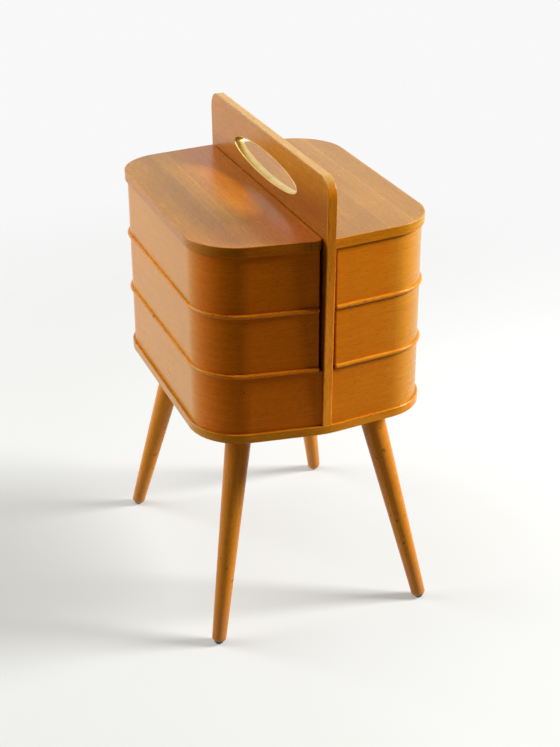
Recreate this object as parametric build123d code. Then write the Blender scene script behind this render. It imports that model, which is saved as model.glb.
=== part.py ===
from build123d import *
import math
import os

# Sewing box on four splayed legs. A full-height board with an oval grip divides it
# into a left and a right half. Each half is a stack: a fixed bottom box, a lower
# tray, an upper tray and a lid. Both trays and the lid swing outwards on one
# upright rod beside the board: the left-hand rod is at the front end and the
# right-hand rod at the back end, so that the open box stays in balance.
#
# Frame: millimetres, +Z up, origin on the floor under the middle of the box.
# The board stands along Y. Front is -Y, left is -X.

# Plan of the body: long straight sides, ends that form a very shallow V.
HALF_LENGTH = 210.0          # middle to the sharp point of an end
HALF_WIDTH = 160.5
END_SLANT = math.radians(7.7)
CORNER_R = 70.0
APEX_R = 143.0
OVERHANG = 3.5               # lids, base plate and tray noses beyond the walls

# Heights, upwards from the floor.
PLATE_Z = 299.0
PLATE_T = 12.0
BOX_WALL_H = 78.0
TRAY_H = 81.0
TRAY_BOTTOM_T = 5.5
SPACER_T = 0.8
LID_T = 13.2
BOARD_TOP_Z = 645.0

# Wood thicknesses.
BENT_WALL_T = 4.5
INNER_WALL_T = 6.0
BOARD_T = 12.0
LIPPING_T = 1.5
EDGE_BREAK = 0.5
BOARD_EDGE_R = 0.9
NOSE_ROUND = 0.45            # share of the tray bottom's thickness
DIVIDER_T = 3.0
DIVIDER_H = 52.0
DIVIDER_Y = 62.0
NOTCH_R = 60.0               # finger notch in a divider
NOTCH_DEPTH = 9.0

# Gaps between the handle board and what swings beside it, and the plan radii that
# let each near corner turn past the board.
TRAY_GAP = 4.5
LID_GAP = 1.2
LID_NEAR_R = 9.8
NOSE_NEAR_R = 3.0
WALL_NEAR_R = 2.0
FAR_R = 2.0

# Both stacks are drawn once, on the +X side with the rod at the -Y end.
PIVOT = (27.5, -193.6)
ROD_R = 3.0
ROD_CHAMFER = 0.6
RUNNING_FIT = 0.05
LOOSE_FIT = 0.1
BUSH_R = 4.0
TRAY_BUSH_L = 16.0
LID_BUSH_L = 8.0
LID_BORE_DEPTH = 9.5
BLOCK_X = 44.0
BLOCK_DEPTH = 24.0
BLOCK_CORNER_R = 6.0
POST_X = 41.0
SPACER_R = 7.0
NUT_FLATS = 10.0
NUT_H = 5.0
NUT_CORNER = 0.7             # chamfer that takes the nut's sharp corners off
NUT_WASHER_R = 9.0
NUT_WASHER_T = 1.2
NUT_RECESS_R = 9.5           # recess in the underside of the base plate
NUT_RECESS_H = 6.5

# Handle board: its ends lean outwards a little towards the top.
BOARD_FOOT_HALF = 208.0
BOARD_TOP_HALF = 218.0
BOARD_CORNER_R = 24.0
BOARD_LIPPING_T = 2.0
GRIP_Z = 600.0
GRIP_HALF_L = 116.0
GRIP_HALF_H = 18.5
LINER_T = 1.2
LINER_PROUD = 0.4
BOARD_SCREW_Y = (-150.0, -50.0, 50.0, 150.0)
SCREW_L = 40.0
SCREW_R = 2.0
SCREW_HEAD_R = 4.0
SCREW_HEAD_H = 2.6

# Legs: centre of each leg where it meets the base plate, and on the floor.
LEG_TOP_XY = (91.0, 129.0)
LEG_FOOT_XY = (151.0, 196.7)
LEG_TOP_R = 18.0
LEG_FOOT_R = 9.6
LEG_END_ROUND = 5.5
LEG_LIFT = 3.4               # leg end above the floor, along the leg
GLIDE_R = 6.0
GLIDE_RIM = 1.2
GLIDE_TIP_H = 2.7            # cone below the rim
GLIDE_TIP_R = 3.4
LEG_SPARE = 30.0             # extra length above a leg, taken off by the level cut
STUD_R = 4.0
STUD_IN_LEG = 26.0
STUD_IN_PLATE = 10.5
INSERT_R = 6.0

PLATE_TOP_Z = PLATE_Z + PLATE_T
LOWER_TRAY_Z = PLATE_TOP_Z + BOX_WALL_H + SPACER_T
UPPER_TRAY_Z = LOWER_TRAY_Z + TRAY_H + SPACER_T
LID_Z = UPPER_TRAY_Z + TRAY_H + SPACER_T
TRAY_INNER_X = BOARD_T / 2 + TRAY_GAP
LID_INNER_X = BOARD_T / 2 + LID_GAP
WALL_INSIDE = OVERHANG + BENT_WALL_T
RECESS_TOP_Z = PLATE_Z + NUT_RECESS_H
ROD_FOOT_Z = RECESS_TOP_Z - NUT_WASHER_T - NUT_H
FAR = 400.0                  # larger than the box, for cutting shapes


def plan(inset=0.0, rounded_tips=False):
    """Six-sided plan of the whole body with large corners, shrunk by inset all round."""
    half_width = HALF_WIDTH - inset
    tip = HALF_LENGTH - inset / math.cos(END_SLANT)
    shoulder = tip - half_width * math.tan(END_SLANT)
    outline = Polyline(
        (0, tip), (half_width, shoulder), (half_width, -shoulder),
        (0, -tip), (-half_width, -shoulder), (-half_width, shoulder), close=True)
    face = make_face(outline)
    corners = face.vertices().filter_by(lambda v: abs(v.X) > 1)
    face = fillet(corners, CORNER_R - inset)
    if rounded_tips:
        tips = face.vertices().filter_by(lambda v: abs(v.X) < 1)
        face = fillet(tips, APEX_R - inset)
    return face


def band_x(x_low, x_high, y_low=-FAR, y_high=FAR):
    """Rectangle between two X and two Y values."""
    size = (x_high - x_low, y_high - y_low)
    return Pos((x_low + x_high) / 2, (y_low + y_high) / 2) * Rectangle(*size)


def half_plan(inner_x, inset, near_r, far_r):
    """The part of the plan beyond inner_x, its two inner corners rounded."""
    face = plan(inset) & band_x(inner_x, FAR)
    near = face.vertices().filter_by(lambda v: abs(v.X - inner_x) < 0.01 and v.Y < 0)
    face = fillet(near, near_r)
    far = face.vertices().filter_by(lambda v: abs(v.X - inner_x) < 0.01).sort_by(Axis.Y)[-1:]
    return fillet(far, far_r)


def raised(face, z, height):
    return Pos(0, 0, z) * extrude(face, height)


def upright(radius, z_low, z_high, x=PIVOT[0], y=PIVOT[1]):
    """Upright cylinder between two heights."""
    centre = Pos(x, y, (z_low + z_high) / 2)
    return centre * Cylinder(radius, z_high - z_low)


def outer_edges(solid, z):
    """All edges of the face at height z that bound its outside."""
    top = solid.faces().filter_by(Plane.XY).filter_by(lambda f: abs(f.center().Z - z) < 0.01)
    return top[0].outer_wire().edges()


def panel_and_lipping(inner_face, outer_face, z, height):
    """A flat panel and the thin strip glued round it, its outer edges eased."""
    slab = raised(outer_face, z, height)
    slab = chamfer(outer_edges(slab, z) + outer_edges(slab, z + height), EDGE_BREAK)
    panel = raised(inner_face, z, height)
    return panel, slab - panel


def bent_wall(inner_x, near_r, far_r, z, height):
    """U-shaped wall of bent plywood, open towards the handle board."""
    section = half_plan(inner_x, OVERHANG, near_r, far_r) - plan(WALL_INSIDE)
    return raised(section, z, height)


def corner_block(x_low, x_high, z, height):
    """Solid block in the front corner, fitted to the end wall, for the rod."""
    front = -HALF_LENGTH + WALL_INSIDE + BLOCK_DEPTH
    section = band_x(x_low, x_high, -FAR, front) & plan(WALL_INSIDE)
    inner = section.vertices().filter_by(lambda v: abs(v.X - x_high) < 0.01).sort_by(Axis.Y)[-1:]
    return raised(fillet(inner, BLOCK_CORNER_R), z, height)


def tray(z, name, with_dividers):
    """Swing-out tray standing on height z."""
    floor_z = z + TRAY_BOTTOM_T
    wall_h = TRAY_H - TRAY_BOTTOM_T
    top_z = z + TRAY_H

    bottom = raised(half_plan(TRAY_INNER_X, 0.0, NOSE_NEAR_R, FAR_R), z, TRAY_BOTTOM_T)
    nose_edges = outer_edges(bottom, z) + outer_edges(bottom, floor_z)
    bottom = fillet(nose_edges, TRAY_BOTTOM_T * NOSE_ROUND)

    inner_x = TRAY_INNER_X + INNER_WALL_T
    inner_wall = raised(band_x(TRAY_INNER_X, inner_x) & plan(WALL_INSIDE), floor_z, wall_h)
    block = corner_block(inner_x, BLOCK_X, floor_z, wall_h)

    bore = upright(BUSH_R, z, top_z)
    lower_bush = upright(BUSH_R, z, z + TRAY_BUSH_L)
    upper_bush = upright(BUSH_R, top_z - TRAY_BUSH_L, top_z)
    rod_hole = upright(ROD_R + RUNNING_FIT, z, top_z)

    pieces = {
        name + "_wall": bent_wall(TRAY_INNER_X, WALL_NEAR_R, FAR_R, floor_z, wall_h),
        name + "_inner_wall": inner_wall,
        name + "_bottom": bottom - bore,
        name + "_pivot_block": block - bore,
        name + "_bushes": Compound([lower_bush - rod_hole, upper_bush - rod_hole]),
    }
    if with_dividers:
        pieces[name + "_dividers"] = dividers(inner_x, floor_z)
    return pieces


def dividers(inner_x, z):
    """Two thin boards across a tray, each with a shallow finger notch on top."""
    boards = []
    for y in (-DIVIDER_Y, DIVIDER_Y):
        strip = band_x(inner_x, FAR, y - DIVIDER_T / 2, y + DIVIDER_T / 2) & plan(WALL_INSIDE)
        board = raised(strip, z, DIVIDER_H)
        middle_x = (inner_x + HALF_WIDTH - WALL_INSIDE) / 2
        notch = Pos(middle_x, y, z + DIVIDER_H + NOTCH_R - NOTCH_DEPTH) * Rot(90, 0, 0)
        boards.append(board - notch * Cylinder(NOTCH_R, 4 * DIVIDER_T))
    return Compound(boards)


def lid():
    """Lid: panel, lipping and the blind bush in its underside."""
    outer = half_plan(LID_INNER_X, 0.0, LID_NEAR_R, FAR_R)
    inner = half_plan(LID_INNER_X + LIPPING_T, LIPPING_T, LID_NEAR_R - LIPPING_T, FAR_R - LIPPING_T)
    panel, lipping = panel_and_lipping(inner, outer, LID_Z, LID_T)
    panel -= upright(BUSH_R, LID_Z, LID_Z + LID_BORE_DEPTH)
    bush = upright(BUSH_R, LID_Z, LID_Z + LID_BUSH_L)
    bush -= upright(ROD_R + RUNNING_FIT, LID_Z, LID_Z + LID_BUSH_L)
    return {"lid_panel": panel, "lid_lipping": lipping, "lid_bush": bush}


def pivot_rod():
    """Rod from below the base plate up into the lid's bush."""
    top_z = LID_Z + LID_BUSH_L
    rod = upright(ROD_R, ROD_FOOT_Z, top_z)
    ends = rod.edges().filter_by(GeomType.CIRCLE)
    return chamfer(ends, ROD_CHAMFER)


def rod_spacers():
    """Thin washers that carry the lower tray, the upper tray and the lid."""
    rings = []
    for top_z in (LOWER_TRAY_Z, UPPER_TRAY_Z, LID_Z):
        ring = upright(SPACER_R, top_z - SPACER_T, top_z)
        rings.append(ring - upright(ROD_R + LOOSE_FIT, top_z - SPACER_T, top_z))
    return rings


def rod_nut():
    """Washer and hexagon nut in the recess under the base plate."""
    washer_z = RECESS_TOP_Z - NUT_WASHER_T
    hole = upright(ROD_R, ROD_FOOT_Z, RECESS_TOP_Z)
    washer = upright(NUT_WASHER_R, washer_z, RECESS_TOP_Z) - hole
    hexagon = Pos(*PIVOT) * RegularPolygon(NUT_FLATS / 2, 6, major_radius=False)
    nut = raised(hexagon, ROD_FOOT_Z, NUT_H)
    rounding = upright(NUT_FLATS / 2 + NUT_CORNER, ROD_FOOT_Z, washer_z)
    rounding = chamfer(rounding.edges().filter_by(GeomType.CIRCLE).sort_by(Axis.Z)[:1], NUT_CORNER)
    return washer, (nut & rounding) - hole


def fixed_box_side():
    """Wall and corner post of the bottom box, glued to plate and board."""
    face_x = BOARD_T / 2
    section = (plan(OVERHANG) & band_x(face_x, FAR)) - plan(WALL_INSIDE)
    post = corner_block(face_x, POST_X, PLATE_TOP_Z, BOX_WALL_H)
    return {
        "base_wall": raised(section, PLATE_TOP_Z, BOX_WALL_H),
        "base_corner_post": post - upright(ROD_R + LOOSE_FIT, PLATE_TOP_Z, LOWER_TRAY_Z),
    }


def leg_frame(side_x, side_y):
    """Plane at a leg's top centre, its Z axis running down along the leg."""
    top = Vector(side_x * LEG_TOP_XY[0], side_y * LEG_TOP_XY[1], PLATE_Z)
    foot = Vector(side_x * LEG_FOOT_XY[0], side_y * LEG_FOOT_XY[1], 0)
    return Plane(origin=top, x_dir=(side_y, -side_x, 0), z_dir=foot - top), (foot - top).length


def half_space(z, above):
    """Very large block above or below a height."""
    shift = FAR if above else -FAR
    return Pos(0, 0, z + shift) * Box(2 * FAR, 2 * FAR, 2 * FAR)


def leg(side_x, side_y):
    """Turned leg: a straight taper with a rounded end, cut level under the plate."""
    frame, length = leg_frame(side_x, side_y)
    end = length - LEG_LIFT
    slope = (LEG_TOP_R - LEG_FOOT_R) / length
    end_r = LEG_TOP_R - slope * end
    start_r = LEG_TOP_R + slope * LEG_SPARE
    with BuildSketch() as profile:
        with BuildLine():
            Polyline((0, -LEG_SPARE), (start_r, -LEG_SPARE), (end_r, end), (0, end), close=True)
        make_face()
        fillet(profile.vertices().filter_by(lambda v: v.X > 1 and v.Y > 0), LEG_END_ROUND)
    turned = revolve(Plane.XZ * profile.sketch, Axis.Z)
    body = frame.location * turned
    return body - half_space(PLATE_Z, True) - stud_bore(frame)


def stud_bore(frame):
    """Cylinder of a leg's stud, from its end in the leg up through the base plate."""
    middle = Pos(0, 0, (STUD_IN_LEG - LEG_SPARE) / 2)
    return frame.location * (middle * Cylinder(STUD_R, STUD_IN_LEG + LEG_SPARE))


def leg_hardware(side_x, side_y):
    """Hanger stud, threaded insert in the plate, and glide of one leg."""
    frame, length = leg_frame(side_x, side_y)
    bore = stud_bore(frame)
    stud = bore - half_space(PLATE_Z + STUD_IN_PLATE, True)
    sleeve = frame.location * Cylinder(INSERT_R, 4 * PLATE_T)
    sleeve = sleeve - half_space(PLATE_TOP_Z, True) - half_space(PLATE_Z, False)
    rim = Pos(0, 0, GLIDE_RIM / 2) * Cylinder(GLIDE_R, GLIDE_RIM)
    tip = Pos(0, 0, GLIDE_RIM + GLIDE_TIP_H / 2) * Cone(GLIDE_R, GLIDE_TIP_R, GLIDE_TIP_H)
    head = frame.location * (Pos(0, 0, length - LEG_LIFT) * (rim + tip))
    return stud, sleeve - bore, head - half_space(0, False)


def board_profile(inset):
    """Side view of the handle board in Y and Z, shrunk at its ends and top."""
    lean = (BOARD_TOP_HALF - BOARD_FOOT_HALF) / (BOARD_TOP_Z - PLATE_TOP_Z)
    top_z = BOARD_TOP_Z - inset
    top_half = BOARD_FOOT_HALF + lean * (top_z - PLATE_TOP_Z) - inset
    foot_half = BOARD_FOOT_HALF - inset
    outline = Polyline((-foot_half, PLATE_TOP_Z), (foot_half, PLATE_TOP_Z),
                       (top_half, top_z), (-top_half, top_z), close=True)
    face = make_face(outline)
    return fillet(face.vertices().filter_by(lambda v: v.Y > GRIP_Z), BOARD_CORNER_R - inset)


def across_board(face, thickness):
    """Turns a Y-Z side view into a solid centred on the board's mid plane."""
    return extrude(Plane.YZ * face, thickness / 2, both=True)


def handle_board():
    """Board, its lipping, and the metal liner of the oval grip."""
    core = across_board(board_profile(BOARD_LIPPING_T), BOARD_T)
    whole = across_board(board_profile(0.0), BOARD_T)
    ends_and_top = whole.edges().filter_by(lambda e: abs(e.center().X) > BOARD_T / 2 - 0.01)
    rims = ends_and_top.filter_by(lambda e: e.center().Z > PLATE_TOP_Z + 1)
    whole = fillet(rims, BOARD_EDGE_R)
    lipping = whole - core

    grip = Pos(0, GRIP_Z) * Ellipse(GRIP_HALF_L, GRIP_HALF_H)
    opening = Pos(0, GRIP_Z) * Ellipse(GRIP_HALF_L - LINER_T, GRIP_HALF_H - LINER_T)
    core -= across_board(grip, BOARD_T)
    for y in BOARD_SCREW_Y:
        core -= upright(SCREW_R, PLATE_TOP_Z, PLATE_Z + SCREW_L, 0, y)
    liner = across_board(grip - opening, BOARD_T + 2 * LINER_PROUD)
    return {"handle_board": core, "handle_board_lipping": lipping, "handle_grip_liner": liner}


def screw_head(y):
    """Countersunk head, flush with the underside of the base plate."""
    middle = Pos(0, y, PLATE_Z + SCREW_HEAD_H / 2)
    return middle * Cone(SCREW_HEAD_R, SCREW_R, SCREW_HEAD_H)


def board_screw(y):
    """Countersunk screw, upwards from the underside of the base plate."""
    return upright(SCREW_R, PLATE_Z, PLATE_Z + SCREW_L, 0, y) + screw_head(y)


def base_plate():
    """Base plate with its lipping and the seats of screws, rods and inserts."""
    plate, lipping = panel_and_lipping(plan(LIPPING_T, True), plan(0.0, True), PLATE_Z, PLATE_T)
    for x, y in ((-PIVOT[0], PIVOT[1]), (PIVOT[0], -PIVOT[1])):
        plate -= upright(ROD_R, PLATE_Z, PLATE_TOP_Z, x, y)
        plate -= upright(NUT_RECESS_R, PLATE_Z, RECESS_TOP_Z, x, y)
    for y in BOARD_SCREW_Y:
        plate -= screw_head(y) + upright(SCREW_R, PLATE_Z, PLATE_TOP_Z, 0, y)
    for side_x in (1, -1):
        for side_y in (1, -1):
            frame, _ = leg_frame(side_x, side_y)
            plate -= frame.location * Cylinder(INSERT_R, 4 * PLATE_T)
    return {"base_plate": plate, "base_plate_lipping": lipping}


def both_sides(pieces):
    """The drawn pieces on both sides, named for their side. The left-hand ones keep the
    rod at the front end; the right-hand ones are turned end for end."""
    named = {}
    for name, shape in pieces.items():
        named[name + "_left"] = mirror(shape, about=Plane.YZ)
        named[name + "_right"] = mirror(shape, about=Plane.XZ)
    return named


def group(shapes):
    """Separate solids of one kind, kept together in one file."""
    return Compound([solid for shape in shapes for solid in shape.solids()])


def group_on_both_rods(shapes):
    """Solids of the drawn rod, set on the left-hand and the right-hand rod."""
    return group([mirror(shape, about=plane) for plane in (Plane.YZ, Plane.XZ) for shape in shapes])


def all_legs():
    places = {"front_left": (-1, -1), "front_right": (1, -1), "back_left": (-1, 1), "back_right": (1, 1)}
    hardware = [leg_hardware(*sides) for sides in places.values()]
    parts = {"leg_" + place: leg(*sides) for place, sides in places.items()}
    for kind, shapes in zip(("leg_studs", "leg_inserts", "leg_glides"), zip(*hardware)):
        parts[kind] = group(shapes)
    return parts


def build():
    washer, nut = rod_nut()
    parts = {
        "board_screws": group([board_screw(y) for y in BOARD_SCREW_Y]),
        "rod_washers": group_on_both_rods([washer]),
        "rod_nuts": group_on_both_rods([nut]),
        "tray_spacers": group_on_both_rods(rod_spacers()),
    }
    parts.update(all_legs())
    parts.update(base_plate())
    parts.update(handle_board())
    for side_pieces in (
        fixed_box_side(),
        {"pivot_rod": pivot_rod()},
        tray(LOWER_TRAY_Z, "lower_tray", False),
        tray(UPPER_TRAY_Z, "upper_tray", True),
        lid(),
    ):
        parts.update(both_sides(side_pieces))
    return parts


os.makedirs("parts", exist_ok=True)
for node, shape in build().items():
    export_step(shape, f"parts/{node}.step")
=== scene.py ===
import math

import bmesh
import bpy
from mathutils import Matrix, Vector


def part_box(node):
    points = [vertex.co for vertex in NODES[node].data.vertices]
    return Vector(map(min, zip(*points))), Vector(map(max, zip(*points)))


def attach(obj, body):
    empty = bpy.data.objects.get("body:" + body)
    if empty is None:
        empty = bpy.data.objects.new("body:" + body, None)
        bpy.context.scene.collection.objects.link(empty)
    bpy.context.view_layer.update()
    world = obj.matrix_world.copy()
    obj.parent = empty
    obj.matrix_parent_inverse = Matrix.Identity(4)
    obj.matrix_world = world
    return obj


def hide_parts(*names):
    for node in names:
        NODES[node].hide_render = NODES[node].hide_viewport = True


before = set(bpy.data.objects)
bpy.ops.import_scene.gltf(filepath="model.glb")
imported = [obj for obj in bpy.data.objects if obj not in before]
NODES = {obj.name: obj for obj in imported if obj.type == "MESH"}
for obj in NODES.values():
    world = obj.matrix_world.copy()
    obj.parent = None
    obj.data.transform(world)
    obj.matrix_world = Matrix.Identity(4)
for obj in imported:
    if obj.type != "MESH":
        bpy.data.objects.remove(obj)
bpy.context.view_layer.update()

# Sewing box with swing-out trays. Metres, in the same frame as the solids: the floor
# is z = 0, the handle board stands along Y, front is -Y and left is -X.

# The camera, fitted to the photograph.
CAMERA_PLACE = (-0.65127, -1.72948, 1.20196)
CAMERA_AZIMUTH = -21.0746
CAMERA_ELEVATION = 26.2586
CAMERA_ROLL = -0.1694
CAMERA_LENS_MM = 70.125

# Heights and places taken over from the solids.
LID_TOP_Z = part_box("lid_panel_left")[1].z
BOARD_TOP_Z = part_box("handle_board_lipping")[1].z
PLATE_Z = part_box("base_plate")[0].z
BOARD_HALF_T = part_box("handle_board")[1].x
GRIP_Z = 0.600
GRIP_HALF_L = 0.116
GRIP_HALF_H = 0.0185
LEG_TOP = (0.091, 0.129, 0.299)
LEG_FOOT = (0.151, 0.1967, 0.0)
LEGS = (("front_left", -1, -1), ("front_right", 1, -1), ("back_left", -1, 1), ("back_right", 1, 1))
BOARD_SCREW_Y = (-0.150, -0.050, 0.050, 0.150)

# The box seen from above, as in the solids.
HALF_LENGTH = 0.210
HALF_WIDTH = 0.1605
CORNER_R = 0.070
END_SLANT = math.radians(7.7)
WALL_OUTSIDE = 0.0035
WALL_INSIDE = 0.0080

# Brass liner of the grip: how far its lips reach over the wood and stand proud of it,
# and how thick the sleeve is.
LIP_REACH = 0.0006
LIP_PROUD = 0.0004
SLEEVE_T = 0.0012

# Countersunk screws under the plate.
SCREW_HEAD_R = 0.00392
SCREW_HEAD_H = 0.0026
SCREW_NECK_R = 0.0019
SCREW_LENGTH = 0.0374
SCREW_SHANK_R = (0.00195, 0.0006)
SLOT_HALF_W = 0.0005
SLOT_DEPTH = 0.0009

SHARP_EDGE = math.radians(35)

# Wood colours, linear: the light and the dark tone of each wood.
# The left copies of each cherry are redder than the right ones: painted shade for the left half,
# away from the main lamp. BACK_BEECH is paler than FRONT_BEECH: painted light on the back legs,
# which the box shades.
LEFT_LID = ((0.44, 0.184, 0.0060), (0.31, 0.114, 0.0025))
RIGHT_LID = ((0.385, 0.178, 0.0150), (0.285, 0.114, 0.0070))
BOARD = ((0.52, 0.198, 0.0040), (0.40, 0.134, 0.0020))
BOARD_LIPPING = ((0.72, 0.230, 0.0050), (0.55, 0.152, 0.0025))
LEFT_WALL = ((0.637, 0.263, 0.0080), (0.482, 0.179, 0.0040))
RIGHT_WALL = ((0.65, 0.261, 0.0200), (0.50, 0.177, 0.0100))
PLATE = ((0.52, 0.170, 0.0040), (0.38, 0.110, 0.0020))
LEFT_NOSE = ((0.72, 0.200, 0.0030), (0.54, 0.130, 0.0015))
RIGHT_NOSE = ((0.66, 0.236, 0.0080), (0.52, 0.158, 0.0040))
LEFT_LIPPING = ((0.56, 0.152, 0.0030), (0.40, 0.098, 0.0012))
RIGHT_LIPPING = ((0.56, 0.184, 0.0040), (0.42, 0.118, 0.0020))
FRONT_BEECH = ((0.62, 0.226, 0.0200), (0.48, 0.154, 0.0100))
BACK_BEECH = ((0.76, 0.286, 0.0220), (0.60, 0.196, 0.0110))
PLAIN_BEECH = ((0.60, 0.34, 0.13), (0.44, 0.21, 0.07))
INNER = ((0.60, 0.290, 0.070), (0.44, 0.185, 0.035))
PLY = ((0.62, 0.37, 0.15), (0.47, 0.25, 0.09))

# How the grain lies: 1 on an axis across it, and a small share along it.
ALONG_THE_BOX = (1, 0.035, 1)
LEVEL = (0.03, 0.03, 1)
UPRIGHT = (1, 1, 0.04)
ALONG_THE_EDGE = (1, 0.03, 0.03)
ACROSS_THE_TRAY = (0.04, 1, 1)

# The tone of a wood is the sum of these layers of grain, about this middle.
BROAD_SHARE = 0.18
LINES_SHARE = 0.24
FINE_SHARE = 0.28
FLAKES_SHARE = 0.34
PATCHES_SHARE = 0.14
TONE_MIDDLE = 0.59
TONE_SPREAD = 0.15

# Lacquer: its index of refraction, and the colours that it gives to reflections.
LACQUER_IOR = 1.36
CLEAR = (1.0, 1.0, 1.0)
PALE_HONEY = (1.0, 0.9, 0.7)
HONEY = (1.0, 0.78, 0.45)
DARK_HONEY = (1.0, 0.72, 0.34)
AMBER = (1.0, 0.62, 0.22)
DEEP_AMBER = (1.0, 0.55, 0.15)

# Depth of the fine relief.
GRAIN_DEPTH = 0.00006
METAL_MARK_DEPTH = 0.00004

# Leaves of veneer: X of the joints, and for each leaf X from, X to and how much paler.
LEFT_LEAF_JOINTS = (-0.1025, -0.084)
LEFT_LEAVES = ((-0.2, -0.1025, 0.03), (-0.1025, -0.084, 0.10))
RIGHT_LEAF_JOINTS = (0.087, 0.124)
RIGHT_LEAVES = ((0.087, 0.124, 0.06),)
LIPPING_JOINTS = (-0.0307, -0.0237)
JOINT_HALF_W = 0.0008
PALE_JOINT = (1.35, 1.5, 3.0)
DARK_JOINT = (0.7, 0.65, 0.6)
PLYWOOD_CORE_HALF_T = 0.0012

# Small dark marks: X, Y, Z and radius.
WALL_MARKS = ((-0.1074, -0.1914, 0.3701, 0.0016),)
BOARD_MARKS = ((-0.0009, -0.2170, 0.4608, 0.0014),)
LEG_MARKS = ((0.1318, -0.1795, 0.1288, 0.0016), (0.1285, -0.1864, 0.0997, 0.0014))
MARK_TINT = (0.32, 0.26, 0.6)
SCUFF_TINT = (0.30, 0.25, 0.6)

# Tints: weights of |X|, Y and Z, where the tint begins, where it is full, and its colour. Most of
# them are painted light, shade or sheen, as the comment above each says.
# Painted shadow and reflection of the board: the left lid darker and redder next to it.
PAINTED_SHADE_NEAR_BOARD = ((1, 0, 0), 0.095, 0.038, (0.98, 0.69, 0.35))
# Painted light: the front of the left lid lighter.
PAINTED_LIGHT_LID_FRONT = ((0, -1, 0), 0.07, 0.16, (1.24, 1.06, 0.6))
# Painted light and sheen: the back of the left lid lighter and paler.
PAINTED_LIGHT_LID_BACK = ((0, 1, 0), 0.04, 0.16, (1.16, 1.22, 1.6))
# Painted shade: the board darker and redder low down, below the lid tops.
PAINTED_SHADE_LOW_ON_BOARD = ((0, 0.12, 1), 0.632, 0.572, (0.64, 0.50, 0.3))
# Painted sheen: the top of the board lipping paler.
PAINTED_SHEEN_BOARD_TOP = ((0, 0, 1), BOARD_TOP_Z - 0.016, BOARD_TOP_Z - 0.001, (0.76, 1.30, 12.0))
# Painted light from the floor: the board lipping lighter towards its foot.
PAINTED_FLOOR_LIGHT_BOARD_FOOT = ((0, 0, 1), 0.56, 0.44, (1.36, 1.42, 2.2))
# Painted shade: the front end of the left walls redder.
PAINTED_SHADE_LEFT_FRONT = ((0, -1, 0), 0.125, 0.168, (1.13, 0.63, 0.16))
# Painted shade: the front end of the right walls redder next to the board.
PAINTED_SHADE_RIGHT_FRONT = ((1, 1, 0), -0.065, -0.122, (1.0, 0.71, 0.2))
# Painted sheen: the right long side and its corner paler and less red, where the right lamp falls.
PAINTED_SHEEN_RIGHT_SIDE = ((1, 0, 0), 0.115, 0.152, (0.74, 0.94, 2.4))
REDDER_BACK = ((0, 1, 0), 0.09, 0.19, (1.05, 0.84, 0.7))
# Painted sheen: the long sides of the plate lipping paler.
SOFTER_SHEEN_PAINTED_ON_SIDES = ((1, 0, 0), 0.125, 0.160, (0.92, 1.12, 1.5))
# Painted sheen: the long sides paler, as a grazing reflection.
PAINTED_SHEEN_ON_SIDES = ((1, 0, 0), 0.125, 0.160, (0.92, 1.25, 2.5))
# Painted sheen: the long sides of the right lid lipping paler.
PAINTED_SHEEN_RIGHT_RIM = ((1, 0, 0), 0.09, 0.13, (0.94, 1.25, 2.0))
# Paler along the top 0.6 mm of each lid lipping.
PALE_TOP_RIM = ((0, 0, 1), LID_TOP_Z - 0.0006, LID_TOP_Z, (1.05, 1.12, 2.0))
WORN_LEG_FOOT = ((0, 0, 1), 0.09, 0.0, (0.86, 0.92, 2.6))

# Metal colours, linear.
PALE_BRASS = (0.72, 0.53, 0.17)
TURNED_BRASS = (0.66, 0.44, 0.13)
DRAWN_STEEL = (0.55, 0.55, 0.55)
ZINC = (0.50, 0.50, 0.49)
DARK_STEEL = (0.10, 0.085, 0.07)
RUST = (0.16, 0.07, 0.03)

# Studio: light of the floor and of the surround, and how far the floor reaches.
FLOOR_PAPER = ((0.40, 0.405, 0.405), (0.43, 0.435, 0.435))
FLOOR_LIFT = 0.238
FLOOR_LIFT_TINT = (0.995, 1.0, 0.90)
FLOOR_FADE = (0.45, 1.7)
MIRRORED_FLOOR = 0.62
FRONT_DIM = 0.12
FRONT_TO_BACK = (-0.75, 0.25)
SURROUND = 0.32
BACKGROUND = 0.94
LAMPS_AIM = (0.0, 0.0, 0.42)
# name, azimuth, elevation, distance, width, height, watts
LAMPS = (
    ("lamp_right", -17.0, 30.0, 2.6, 0.8, 0.7, 130.0),
    ("lamp_left_back", 150.0, 26.0, 2.6, 1.8, 1.6, 64.0),
    ("lamp_above", 90.0, 80.0, 2.4, 2.2, 2.2, 15.0),
)


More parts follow.
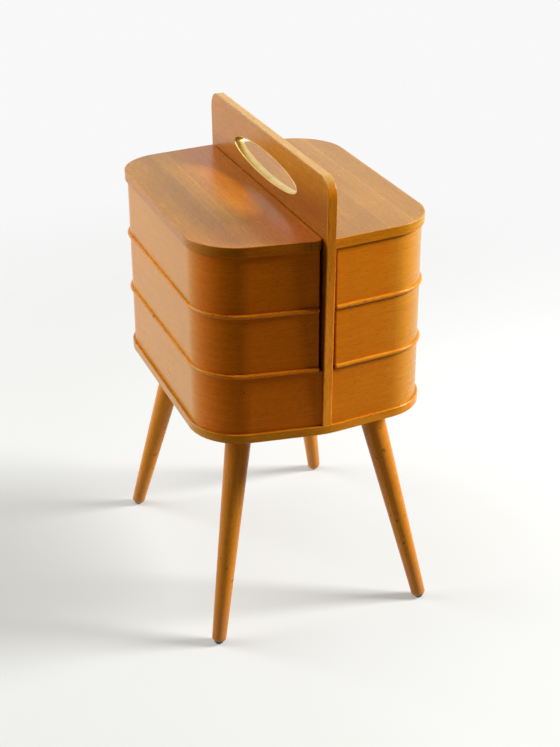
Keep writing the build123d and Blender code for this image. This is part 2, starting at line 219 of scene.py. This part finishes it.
class Finish:
    """One procedural material: a few short words for the nodes that it is made of."""

    def __init__(self, name):
        self.material = bpy.data.materials.new(name)
        self.material.use_nodes = True
        self.tree = self.material.node_tree
        self.tree.nodes.clear()
        self.place = self.tree.nodes.new("ShaderNodeTexCoord").outputs["Object"]

    def node(self, kind, settings=(), **inputs):
        made = self.tree.nodes.new("ShaderNode" + kind)
        for name, value in dict(settings).items():
            setattr(made, name, value)
        for name, value in inputs.items():
            self.feed(made.inputs[name.replace("_", " ")], value)
        return made

    def feed(self, socket, value):
        if isinstance(value, bpy.types.NodeSocket):
            self.tree.links.new(value, socket)
        elif isinstance(value, (tuple, list)) and len(value) == 3 and socket.type == "RGBA":
            socket.default_value = (*value, 1.0)
        else:
            socket.default_value = value

    def stretched(self, per_metre, turn=(0, 0, 0), centre=(0, 0, 0)):
        """Object coordinates, centred, turned and then scaled on each axis."""
        place = self.place
        if centre != (0, 0, 0):
            moved = self.node("VectorMath", {"operation": "SUBTRACT"})
            self.feed(moved.inputs[0], self.place)
            self.feed(moved.inputs[1], centre)
            place = moved.outputs[0]
        if turn != (0, 0, 0):
            place = self.node("Mapping", Vector=place, Rotation=turn).outputs[0]
        return self.node("Mapping", Vector=place, Scale=per_metre).outputs[0]

    def noise(self, vector, detail=2.0, roughness=0.5, distortion=0.0):
        made = self.node("TexNoise", Vector=vector, Scale=1.0, Detail=detail,
                         Roughness=roughness, Distortion=distortion)
        return made.outputs["Fac"]

    def sum(self, *parts):
        """Adds up (value, weight) pairs."""
        total = None
        for value, weight in parts:
            term = self.math("MULTIPLY", value, weight)
            total = term if total is None else self.math("ADD", total, term)
        return total

    def math(self, operation, first, second=0.0):
        made = self.node("Math", {"operation": operation})
        self.feed(made.inputs[0], first)
        self.feed(made.inputs[1], second)
        return made.outputs[0]

    def step(self, value, low, high, at_low=0.0, at_high=1.0):
        """Smooth change from at_low to at_high while value goes from low to high."""
        made = self.node("MapRange", {"interpolation_type": "SMOOTHSTEP"}, Value=value)
        for name, number in (("From Min", low), ("From Max", high),
                             ("To Min", at_low), ("To Max", at_high)):
            self.feed(made.inputs[name], number)
        return made.outputs["Result"]

    def mix(self, share, first, second, how="MIX"):
        made = self.node("Mix", {"data_type": "RGBA", "blend_type": how, "clamp_factor": True})
        self.feed(made.inputs["Factor"], share)
        self.feed(made.inputs[6], first)
        self.feed(made.inputs[7], second)
        return made.outputs[2]

    def tinted(self, colour, share, tint):
        """The colour multiplied by a tint where share is 1."""
        return self.mix(share, colour, self.mix(1.0, colour, tint, "MULTIPLY"))

    def axes(self):
        """X, Y and Z of the place on the object, as single values."""
        return self.node("SeparateXYZ", Vector=self.place).outputs

    def band(self, value, centre, half_width):
        """1 on a thin line where value equals centre, 0 away from it."""
        away = self.math("ABSOLUTE", self.math("SUBTRACT", value, centre))
        return self.step(away, half_width * 0.5, half_width, 1.0, 0.0)

    def bumped(self, height, depth, strength=1.0):
        return self.node("Bump", Height=height, Distance=depth, Strength=strength).outputs["Normal"]

    def shaded(self, colour, roughness, normal=None, **constants):
        shader = self.node("BsdfPrincipled")
        self.feed(shader.inputs["Base Color"], colour)
        self.feed(shader.inputs["Roughness"], roughness)
        if normal is not None:
            self.feed(shader.inputs["Normal"], normal)
        for name, value in constants.items():
            shader.inputs[name.replace("_", " ")].default_value = value
        out = self.node("OutputMaterial")
        self.tree.links.new(shader.outputs[0], out.inputs[0])
        return self.material


def grained(finish, light, dark, lie, contrast, seed, turn=(0, 0, 0), centre=(0, 0, 0),
            specks=0.45):
    """Colour and relief of a wood, from layers of grain drawn out along it."""
    def grain(across_per_metre, drawn_out=1.0, detail=2.0, distortion=0.0):
        scale = tuple(across_per_metre * (1.0 if share == 1 else share * drawn_out)
                      for share in lie)
        vector = finish.node("Mapping", Vector=finish.stretched(scale, turn, centre),
                             Location=(seed, seed * 1.7, seed * 0.6)).outputs[0]
        return finish.noise(vector, detail, 0.55, distortion)

    broad = grain(26.0, 2.5, 3.0, 0.4)
    lines = grain(210.0, 1.4, 2.0, 0.2)
    fine = grain(560.0, 2.0, 2.0)
    flakes = grain(640.0, 7.0, 1.0)
    pores = grain(1200.0, 5.0, 1.0)
    patches = finish.noise(finish.stretched((14.0, 14.0, 14.0), (0, 0, 0), centre), 3.0)

    tone = finish.sum((broad, BROAD_SHARE), (lines, LINES_SHARE), (fine, FINE_SHARE),
                      (flakes, FLAKES_SHARE), (patches, PATCHES_SHARE))
    spread = TONE_SPREAD / contrast
    colour = finish.mix(finish.step(tone, TONE_MIDDLE - spread, TONE_MIDDLE + spread), dark, light)
    flecks = finish.step(pores, 0.60, 0.72)
    colour = finish.mix(finish.math("MULTIPLY", flecks, specks), colour,
                        tuple(0.5 * c for c in dark))
    relief = finish.sum((fine, 0.6), (flecks, -0.8), (lines, 0.4))
    return colour, relief, broad, fine, patches


def depth_in_plan(finish):
    """How far a place lies inside the outline of the box, seen from above: the outline
    has long sides, slanted ends and round corners between them."""
    axes = finish.axes()
    across = finish.math("ABSOLUTE", axes[0])
    along = finish.math("ABSOLUTE", axes[1])
    slant, straight = math.sin(END_SLANT), math.cos(END_SLANT)
    past_side = finish.math("SUBTRACT", across, HALF_WIDTH - CORNER_R)
    past_end = finish.math("SUBTRACT", finish.sum((across, slant), (along, straight)),
                           HALF_LENGTH * straight - CORNER_R)

    squares = finish.math("ADD", finish.math("MULTIPLY", past_side, past_side),
                          finish.math("MULTIPLY", past_end, past_end))
    cross = finish.math("MULTIPLY", finish.math("MULTIPLY", past_side, past_end), -2.0 * slant)
    round_way = finish.math("SQRT", finish.math("DIVIDE", finish.math("ADD", squares, cross),
                                                straight * straight))
    beyond_side = finish.math("GREATER_THAN",
                              finish.sum((past_side, 1.0), (past_end, -slant)), 0.0)
    beyond_end = finish.math("GREATER_THAN",
                             finish.sum((past_end, 1.0), (past_side, -slant)), 0.0)
    in_corner = finish.math("MULTIPLY", beyond_side, beyond_end)
    flat_way = finish.math("MAXIMUM", past_side, past_end)
    on_flat = finish.math("SUBTRACT", 1.0, in_corner)
    reach = finish.math("ADD", finish.math("MULTIPLY", in_corner, round_way),
                        finish.math("MULTIPLY", on_flat, flat_way))
    return finish.math("SUBTRACT", CORNER_R, reach)


def joined_leaves(finish, colour, broad, leaves, joints, joint_tint):
    """Leaves of veneer in slightly different tones, with the joints between them."""
    x = finish.axes()[0]
    for x_from, x_to, paler in leaves:
        inside = finish.math("MULTIPLY", finish.step(x, x_from - 0.0004, x_from + 0.0004),
                             finish.step(x, x_to - 0.0004, x_to + 0.0004, 1.0, 0.0))
        colour = finish.tinted(colour, inside, (1.0 + paler,) * 3)
    for joint in joints:
        seam = finish.math("MULTIPLY", finish.band(x, joint, JOINT_HALF_W),
                           finish.step(broad, 0.35, 0.6, 0.5, 0.95))
        colour = finish.tinted(colour, seam, joint_tint)
    return colour


def painted_light_wear_and_marks(finish, colour, tints, marks):
    """Changes of colour over a piece, most of them painted light, shade and sheen and some wear,
    and its small dark marks.
    """
    axes = finish.axes()
    for weights, start, end, tint in tints:
        across = finish.math("ABSOLUTE", axes[0])
        place = finish.sum((across, weights[0]), (axes[1], weights[1]), (axes[2], weights[2]))
        colour = finish.tinted(colour, finish.step(place, start, end), tint)
    for *middle, radius in marks:
        away = finish.node("VectorMath", {"operation": "DISTANCE"})
        finish.feed(away.inputs[0], finish.place)
        finish.feed(away.inputs[1], middle)
        share = finish.step(away.outputs["Value"], 0.4 * radius, radius, 1.0, 0.0)
        colour = finish.tinted(colour, share, MARK_TINT)
    return colour


def cut_open(finish, colour, lie, seed, inner_from, plies_from):
    """From the depth inner_from inwards a piece shows its paler inner wood, and from
    plies_from on its level edges show the layers of the plywood."""
    depth = depth_in_plan(finish)
    inner_lie = ALONG_THE_BOX if plies_from is None else lie
    inner = grained(finish, *INNER, inner_lie, 0.9, seed + 2.0)[0]
    colour = finish.mix(finish.step(depth, inner_from - 0.0003, inner_from), colour, inner)
    if plies_from is None:
        return colour
    normal = finish.node("NewGeometry").outputs["Normal"]
    level = finish.math("ABSOLUTE", finish.node("SeparateXYZ", Vector=normal).outputs[2])
    middle = plies_from + 0.5 * (inner_from - plies_from)
    core = finish.band(depth, middle, PLYWOOD_CORE_HALF_T)
    layers = finish.mix(core, INNER[0], tuple(0.55 * c for c in INNER[1]))
    return finish.mix(finish.step(level, 0.90, 0.95), colour, layers)


def wood(name, light, dark, lie, seed=0.0, gloss=0.26, contrast=1.0, sheen=PALE_HONEY,
         specks=0.45, scuffs=0.0, turn=(0, 0, 0), centre=(0, 0, 0), leaves=(), joints=(),
         joint_tint=PALE_JOINT, tints=(), marks=(), inner_from=None, plies_from=None):
    """Satin-lacquered wood."""
    finish = Finish(name)
    colour, relief, broad, fine, patches = grained(finish, light, dark, lie, contrast, seed,
                                                   turn, centre, specks)
    if scuffs:
        worn = finish.noise(finish.stretched((95.0, 95.0, 95.0), (0, 0, 0), centre), 4.0, 0.6)
        share = finish.math("MULTIPLY", finish.step(worn, 0.64, 0.70), scuffs)
        colour = finish.tinted(colour, share, SCUFF_TINT)
    colour = joined_leaves(finish, colour, broad, leaves, joints, joint_tint)
    colour = painted_light_wear_and_marks(finish, colour, tints, marks)
    if inner_from is not None:
        colour = cut_open(finish, colour, lie, seed, inner_from, plies_from)

    roughness = finish.sum((patches, 0.10), (fine, 0.05), (broad, 0.04))
    roughness = finish.math("ADD", roughness, gloss - 0.095)
    return finish.shaded(colour, roughness, finish.bumped(relief, GRAIN_DEPTH, 0.5),
                         IOR=LACQUER_IOR, Specular_Tint=(*sheen, 1.0))


def brass(name, colour, gloss, brushed, seed=0.0, tarnish_share=1.0):
    """Worn brass, with brush marks and patches of tarnish."""
    finish = Finish(name)
    scratches = finish.noise(finish.node("Mapping", Vector=finish.stretched(brushed),
                                         Location=(seed, 0.0, 0.0)).outputs[0], 3.0, 0.6)
    tarnish = finish.noise(finish.stretched((45.0, 45.0, 45.0)), 4.0, 0.6)
    shade = finish.math("MULTIPLY", finish.step(tarnish, 0.38, 0.66), tarnish_share)
    tone = finish.mix(shade, colour, tuple(0.62 * c for c in colour))
    bright = tuple(min(1.0, 1.2 * c) for c in colour)
    tone = finish.mix(finish.math("MULTIPLY", finish.step(scratches, 0.55, 0.7), 0.25), tone,
                      bright)
    roughness = finish.math("ADD", finish.sum((scratches, 0.14), (tarnish, 0.16)), gloss - 0.15)
    return finish.shaded(tone, roughness, finish.bumped(scratches, METAL_MARK_DEPTH, 0.4),
                         Metallic=1.0)


def steel(name, colour, gloss, brushed, rust=0.0):
    """Dull steel, with marks of making, stains and a little rust."""
    finish = Finish(name)
    marks = finish.noise(finish.stretched(brushed), 3.0, 0.6)
    stain = finish.noise(finish.stretched((70.0, 70.0, 70.0)), 4.0, 0.65)
    tone = finish.mix(finish.step(stain, 0.42, 0.68), colour, tuple(0.6 * c for c in colour))
    if rust:
        share = finish.math("MULTIPLY", finish.step(stain, 0.58, 0.72), rust)
        tone = finish.mix(share, tone, RUST)
    roughness = finish.math("ADD", finish.sum((marks, 0.16), (stain, 0.18)), gloss - 0.17)
    return finish.shaded(tone, roughness, finish.bumped(marks, METAL_MARK_DEPTH, 0.4),
                         Metallic=1.0)


def new_piece(name, shape, finish, body, slot, *replaced):
    """Turns a bmesh into a finished piece that rides on a body."""
    bmesh.ops.remove_doubles(shape, verts=shape.verts, dist=1e-6)
    bmesh.ops.recalc_face_normals(shape, faces=shape.faces)
    for face in shape.faces:
        face.smooth = True
    mesh = bpy.data.meshes.new(name)
    shape.to_mesh(mesh)
    shape.free()
    mesh.set_sharp_from_angle(angle=SHARP_EDGE)
    mesh.materials.append(finish)
    piece = bpy.data.objects.new(name, mesh)
    bpy.context.scene.collection.objects.link(piece)
    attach(piece, body)
    if replaced:
        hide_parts(*replaced)
    return piece


def grip_liner(finish):
    """Brass liner of the oval grip: a thin oval sleeve with a lip rolled over each face
    of the board. One ring of vertices is drawn and then extruded round the section."""
    lip = ((0.00005, LIP_REACH), (0.0003, 0.0004), (LIP_PROUD, 0.0), (0.0002, -0.0007),
           (-0.0006, -SLEEVE_T))
    section = [(-BOARD_HALF_T - proud, outwards) for proud, outwards in lip]
    section += [(BOARD_HALF_T + proud, outwards) for proud, outwards in reversed(lip)]
    section += [(BOARD_HALF_T + 0.00005, -0.0001), (-BOARD_HALF_T - 0.00005, -0.0001)]

    shape = bmesh.new()
    centre = Vector((0.0, 0.0, GRIP_Z))
    to_board = Matrix.Translation(centre) @ Matrix.Rotation(math.radians(90), 4, "Y")
    ring = bmesh.ops.create_circle(shape, segments=144, radius=1.0, matrix=to_board)["verts"]
    old_y, old_z, old_x = 1.0, 1.0, 0.0
    first = list({edge for vertex in ring for edge in vertex.link_edges})
    edges = first
    for number, (x, outwards) in enumerate(section):
        if number:
            made = bmesh.ops.extrude_edge_only(shape, edges=edges)["geom"]
            ring = [part for part in made if isinstance(part, bmesh.types.BMVert)]
            edges = [part for part in made if isinstance(part, bmesh.types.BMEdge)]
        new_y, new_z = GRIP_HALF_L + outwards, GRIP_HALF_H + outwards
        bmesh.ops.scale(shape, verts=ring, vec=(1.0, new_y / old_y, new_z / old_z),
                        space=Matrix.Translation(-centre))
        bmesh.ops.translate(shape, verts=ring, vec=(x - old_x, 0.0, 0.0))
        old_y, old_z, old_x = new_y, new_z, x
    bmesh.ops.bridge_loops(shape, edges=first + edges)
    new_piece("oval_grip_liner", shape, finish, "frame", "grip_liner", "handle_grip_liner")


def slotted_screws(finish):
    """Countersunk screws through the base plate: tapered head with a slot, shank above."""
    shape = bmesh.new()
    for y in BOARD_SCREW_Y:
        seat = Matrix.Translation((0.0, y, PLATE_Z))
        middle = Matrix.Translation((0.0, y, PLATE_Z + 0.5 * SCREW_HEAD_H))
        head = bmesh.ops.create_cone(shape, cap_ends=True, segments=32, radius1=SCREW_HEAD_R,
                                     radius2=SCREW_NECK_R, depth=SCREW_HEAD_H,
                                     matrix=middle)["verts"]
        faces = list({face for vertex in head for face in vertex.link_faces})
        underside = min(faces, key=lambda face: face.calc_center_median().z)
        for side in (-1, 1):
            cut = list(underside.edges) + list(underside.verts) + [underside]
            bmesh.ops.bisect_plane(shape, geom=cut, plane_no=(0.0, side, 0.0),
                                   plane_co=seat @ Vector((0.0, side * SLOT_HALF_W, 0.0)))
            shape.normal_update()
            strips = [face for face in shape.faces if abs(face.normal.z) > 0.99
                      and face.calc_center_median().z < PLATE_Z + 0.0001
                      and abs(face.calc_center_median().y - y) < 0.0025]
            underside = min(strips, key=lambda face: abs(face.calc_center_median().y - y))
        floor = bmesh.ops.extrude_discrete_faces(shape, faces=[underside])["faces"]
        bmesh.ops.translate(shape, verts=list({v for face in floor for v in face.verts}),
                            vec=(0, 0, SLOT_DEPTH))
        shank_z = PLATE_Z + SCREW_HEAD_H + 0.5 * SCREW_LENGTH
        bmesh.ops.create_cone(shape, cap_ends=True, segments=20, radius1=SCREW_SHANK_R[0],
                              radius2=SCREW_SHANK_R[1], depth=SCREW_LENGTH,
                              matrix=Matrix.Translation((0.0, y, shank_z)))
    new_piece("slotted_board_screws", shape, finish, "frame", "hardware_steel", "board_screws")


def dress(finish, *names):
    """Gives CAD nodes a finish. A name may end in * for every node that starts so."""
    for name in names:
        found = [n for n in NODES
                 if n == name or (name.endswith("*") and n.startswith(name[:-1]))]
        for node in found:
            for material_slot in NODES[node].material_slots:
                material_slot.material = finish


def dress_lids():
    dress(wood("cherry_left_lid", *LEFT_LID, ALONG_THE_BOX, seed=3.1, sheen=HONEY, specks=0.6,
               leaves=LEFT_LEAVES, joints=LEFT_LEAF_JOINTS,
               tints=(PAINTED_SHADE_NEAR_BOARD, PAINTED_LIGHT_LID_FRONT, PAINTED_LIGHT_LID_BACK)), "lid_panel_left")
    dress(wood("cherry_right_lid", *RIGHT_LID, ALONG_THE_BOX, seed=7.4, sheen=CLEAR, specks=0.6,
               leaves=RIGHT_LEAVES, joints=RIGHT_LEAF_JOINTS), "lid_panel_right")
    dress(wood("cherry_left_lid_lipping", *LEFT_LIPPING, LEVEL, seed=3.6, sheen=AMBER,
               joints=LIPPING_JOINTS, joint_tint=DARK_JOINT,
               tints=(PAINTED_SHEEN_ON_SIDES, PALE_TOP_RIM)), "lid_lipping_left")
    dress(wood("cherry_right_lid_lipping", *RIGHT_LIPPING, LEVEL, seed=6.1, sheen=AMBER,
               tints=(PAINTED_SHEEN_RIGHT_RIM, PALE_TOP_RIM)), "lid_lipping_right")


def dress_board():
    dress(wood("cherry_board", *BOARD, ALONG_THE_BOX, seed=1.3, contrast=1.2, sheen=DARK_HONEY,
               tints=(PAINTED_SHADE_LOW_ON_BOARD,)), "handle_board")
    dress(wood("cherry_board_lipping", *BOARD_LIPPING, ALONG_THE_EDGE, seed=6.7, scuffs=0.5,
               tints=(PAINTED_SHEEN_BOARD_TOP, PAINTED_FLOOR_LIGHT_BOARD_FOOT), marks=BOARD_MARKS), "handle_board_lipping")
    grip_liner(brass("pale_brass_liner", PALE_BRASS, 0.42, (900.0, 60.0, 60.0),
                     tarnish_share=0.5))


def dress_walls():
    dress(wood("cherry_left_walls", *LEFT_WALL, LEVEL, seed=5.2, contrast=0.6, sheen=DEEP_AMBER,
               tints=(PAINTED_SHADE_LEFT_FRONT, REDDER_BACK), marks=WALL_MARKS,
               inner_from=WALL_INSIDE, plies_from=WALL_OUTSIDE),
          "base_wall_left", "lower_tray_wall_left", "upper_tray_wall_left")
    dress(wood("cherry_right_walls", *RIGHT_WALL, LEVEL, seed=8.6, contrast=0.6, sheen=AMBER,
               tints=(PAINTED_SHADE_RIGHT_FRONT, PAINTED_SHEEN_RIGHT_SIDE, REDDER_BACK),
               inner_from=WALL_INSIDE, plies_from=WALL_OUTSIDE),
          "base_wall_right", "lower_tray_wall_right", "upper_tray_wall_right")
    dress(wood("cherry_left_noses", *LEFT_NOSE, LEVEL, seed=2.2, sheen=AMBER, scuffs=0.8,
               tints=(PAINTED_SHEEN_ON_SIDES,), inner_from=WALL_INSIDE),
          "lower_tray_bottom_left", "upper_tray_bottom_left")
    dress(wood("cherry_right_noses", *RIGHT_NOSE, LEVEL, seed=7.7, sheen=AMBER, scuffs=0.8,
               tints=(PAINTED_SHEEN_ON_SIDES,), inner_from=WALL_INSIDE),
          "lower_tray_bottom_right", "upper_tray_bottom_right")


def dress_base():
    dress(wood("cherry_plate", *PLATE, ALONG_THE_BOX, seed=9.1), "base_plate")
    dress(wood("cherry_plate_lipping", *RIGHT_NOSE, LEVEL, seed=4.8, sheen=AMBER, scuffs=0.5,
               tints=(SOFTER_SHEEN_PAINTED_ON_SIDES,)), "base_plate_lipping")
    for place, side_x, side_y in LEGS:
        foot = (side_x * LEG_FOOT[0], side_y * LEG_FOOT[1], 0.0)
        # Back legs take the paler BACK_BEECH: painted light.
        light, dark = FRONT_BEECH if side_y < 0 else BACK_BEECH
        dress(wood("beech_leg_" + place, light, dark, UPRIGHT, seed=2.0 + side_x + 3 * side_y,
                   contrast=0.6, sheen=AMBER, scuffs=0.7, turn=leg_turn(side_x, side_y),
                   centre=foot, tints=(WORN_LEG_FOOT,),
                   marks=LEG_MARKS if place == "front_right" else ()), "leg_" + place)


def leg_turn(side_x, side_y):
    """Euler turn that lays a leg's own axis along Z."""
    axis = Vector((side_x * (LEG_FOOT[0] - LEG_TOP[0]), side_y * (LEG_FOOT[1] - LEG_TOP[1]),
                   -LEG_TOP[2]))
    return tuple(axis.rotation_difference(Vector((0, 0, -1))).to_euler())


def dress_inside():
    dress(wood("beech_blocks", *PLAIN_BEECH, UPRIGHT, gloss=0.5), "base_corner_post_*",
          "lower_tray_pivot_block_*", "upper_tray_pivot_block_*")
    dress(wood("plywood_dividers", *PLY, ACROSS_THE_TRAY, gloss=0.45), "upper_tray_dividers_*")
    dress(wood("plywood_inner_walls", *PLY, ALONG_THE_BOX, gloss=0.4),
          "lower_tray_inner_wall_*", "upper_tray_inner_wall_*")


def dress_hardware():
    dress(brass("turned_brass", TURNED_BRASS, 0.3, (300.0, 300.0, 2500.0), 4.0),
          "lower_tray_bushes_*", "upper_tray_bushes_*", "lid_bush_*", "tray_spacers")
    dress(steel("drawn_steel_rods", DRAWN_STEEL, 0.25, (1800.0, 1800.0, 60.0)), "pivot_rod_*")
    zinc = steel("zinc_hardware", ZINC, 0.34, (700.0, 700.0, 700.0), 0.4)
    dress(zinc, "rod_nuts", "rod_washers", "leg_studs", "leg_inserts")
    slotted_screws(zinc)
    dress(steel("dark_glides", DARK_STEEL, 0.4, (500.0, 500.0, 500.0)), "leg_glides")


def paper_floor():
    """Pale floor that keeps the shadows and fades out into the white surround."""
    mesh = bpy.data.meshes.new("studio_floor")
    shape = bmesh.new()
    bmesh.ops.create_grid(shape, x_segments=1, y_segments=1, size=6.0)
    shape.to_mesh(mesh)
    shape.free()
    floor = bpy.data.objects.new("studio_floor", mesh)
    bpy.context.scene.collection.objects.link(floor)

    finish = Finish("white_paper")
    tree = finish.tree
    unevenness = finish.noise(finish.stretched((1.6, 1.6, 1.0)), 2.0)
    paper = finish.node("BsdfDiffuse")
    finish.feed(paper.inputs["Color"], finish.mix(unevenness, *FLOOR_PAPER))
    path = finish.node("LightPath").outputs
    mirrored = finish.math("ADD", path["Is Glossy Ray"], path["Is Transmission Ray"])
    seen = finish.math("MINIMUM", 1.0, finish.math("ADD", path["Is Camera Ray"], mirrored))
    lift = finish.node("Emission", Color=FLOOR_LIFT_TINT)
    finish.feed(lift.inputs["Strength"], finish.math("MULTIPLY", seen, FLOOR_LIFT))
    both = finish.node("AddShader")
    tree.links.new(paper.outputs[0], both.inputs[0])
    tree.links.new(lift.outputs[0], both.inputs[1])

    distance = finish.node("VectorMath", {"operation": "LENGTH"})
    finish.feed(distance.inputs[0], finish.place)
    nearer = finish.math("MULTIPLY", path["Is Glossy Ray"], MIRRORED_FLOOR)
    reach = finish.math("SUBTRACT", 1.0, nearer)
    fade = finish.step(finish.math("DIVIDE", distance.outputs["Value"], reach), *FLOOR_FADE)
    clear = finish.node("BsdfTransparent")
    blend = finish.node("MixShader")
    finish.feed(blend.inputs[0], fade)
    tree.links.new(both.outputs[0], blend.inputs[1])
    tree.links.new(clear.outputs[0], blend.inputs[2])
    tree.links.new(blend.outputs[0], finish.node("OutputMaterial").inputs[0])
    mesh.materials.append(finish.material)


def lamp(name, azimuth, elevation, distance, width, height, watts):
    """Rectangular soft lamp. Azimuth is counted from +X towards +Y."""
    data = bpy.data.lights.new(name, "AREA")
    data.shape = "RECTANGLE"
    data.size, data.size_y, data.energy = width, height, watts
    turn, rise = math.radians(azimuth), math.radians(elevation)
    towards = Vector((math.cos(turn) * math.cos(rise), math.sin(turn) * math.cos(rise),
                      math.sin(rise)))
    made = bpy.data.objects.new(name, data)
    made.location = Vector(LAMPS_AIM) + towards * distance
    made.rotation_euler = towards.to_track_quat("Z", "Y").to_euler()
    bpy.context.scene.collection.objects.link(made)


def white_surround():
    """Surround that is white to the camera, softer as light, and dimmer at the front."""
    world = bpy.data.worlds.new("white_surround")
    bpy.context.scene.world = world
    world.use_nodes = True
    nodes, links = world.node_tree.nodes, world.node_tree.links
    nodes.clear()

    def calc(operation, first, second):
        made = nodes.new("ShaderNodeMath")
        made.operation = operation
        for socket, value in zip(made.inputs, (first, second)):
            if isinstance(value, bpy.types.NodeSocket):
                links.new(value, socket)
            else:
                socket.default_value = value
        return made.outputs[0]

    split = nodes.new("ShaderNodeSeparateXYZ")
    links.new(nodes.new("ShaderNodeTexCoord").outputs["Generated"], split.inputs[0])
    facing = nodes.new("ShaderNodeMapRange")
    facing.interpolation_type = "SMOOTHSTEP"
    links.new(split.outputs[1], facing.inputs["Value"])
    for name, number in (("From Min", FRONT_TO_BACK[0]), ("From Max", FRONT_TO_BACK[1]),
                         ("To Min", FRONT_DIM), ("To Max", 1.0)):
        facing.inputs[name].default_value = number
    path = nodes.new("ShaderNodeLightPath").outputs
    mirrored = calc("MINIMUM", 1.0, calc("ADD", path["Is Glossy Ray"], path["Is Transmission Ray"]))
    soft = calc("ADD", calc("MULTIPLY", mirrored, 1.0 - SURROUND), SURROUND)
    soft = calc("MULTIPLY", soft, facing.outputs["Result"])
    camera_only = path["Is Camera Ray"]
    strength = calc("ADD", calc("MULTIPLY", soft, calc("SUBTRACT", 1.0, camera_only)),
                    calc("MULTIPLY", camera_only, BACKGROUND))
    background = nodes.new("ShaderNodeBackground")
    background.inputs["Color"].default_value = (1.0, 1.0, 1.0, 1.0)
    links.new(strength, background.inputs["Strength"])
    out = nodes.new("ShaderNodeOutputWorld")
    links.new(background.outputs[0], out.inputs[0])


def photo_camera():
    """The camera with the place, turn and lens of the photograph."""
    data = bpy.data.cameras.new("photo_camera")
    data.sensor_fit = "AUTO"
    data.sensor_width = 36.0
    data.lens = CAMERA_LENS_MM
    turn, rise, roll = (math.radians(angle)
                        for angle in (CAMERA_AZIMUTH, CAMERA_ELEVATION, CAMERA_ROLL))
    back = Vector((math.sin(turn) * math.cos(rise), -math.cos(turn) * math.cos(rise),
                   math.sin(rise)))
    right = Vector((math.cos(turn), math.sin(turn), 0.0))
    up = back.cross(right)
    right, up = (right * math.cos(roll) + up * math.sin(roll),
                 up * math.cos(roll) - right * math.sin(roll))
    camera = bpy.data.objects.new("photo_camera", data)
    axes = Matrix((right, up, back)).transposed().to_4x4()
    camera.matrix_world = Matrix.Translation(CAMERA_PLACE) @ axes
    bpy.context.scene.collection.objects.link(camera)
    bpy.context.scene.camera = camera


photo_camera()
paper_floor()
for settings in LAMPS:
    lamp(*settings)
white_surround()
dress_lids()
dress_board()
dress_walls()
dress_base()
dress_inside()
dress_hardware()
bpy.context.scene.view_settings.view_transform = "Standard"
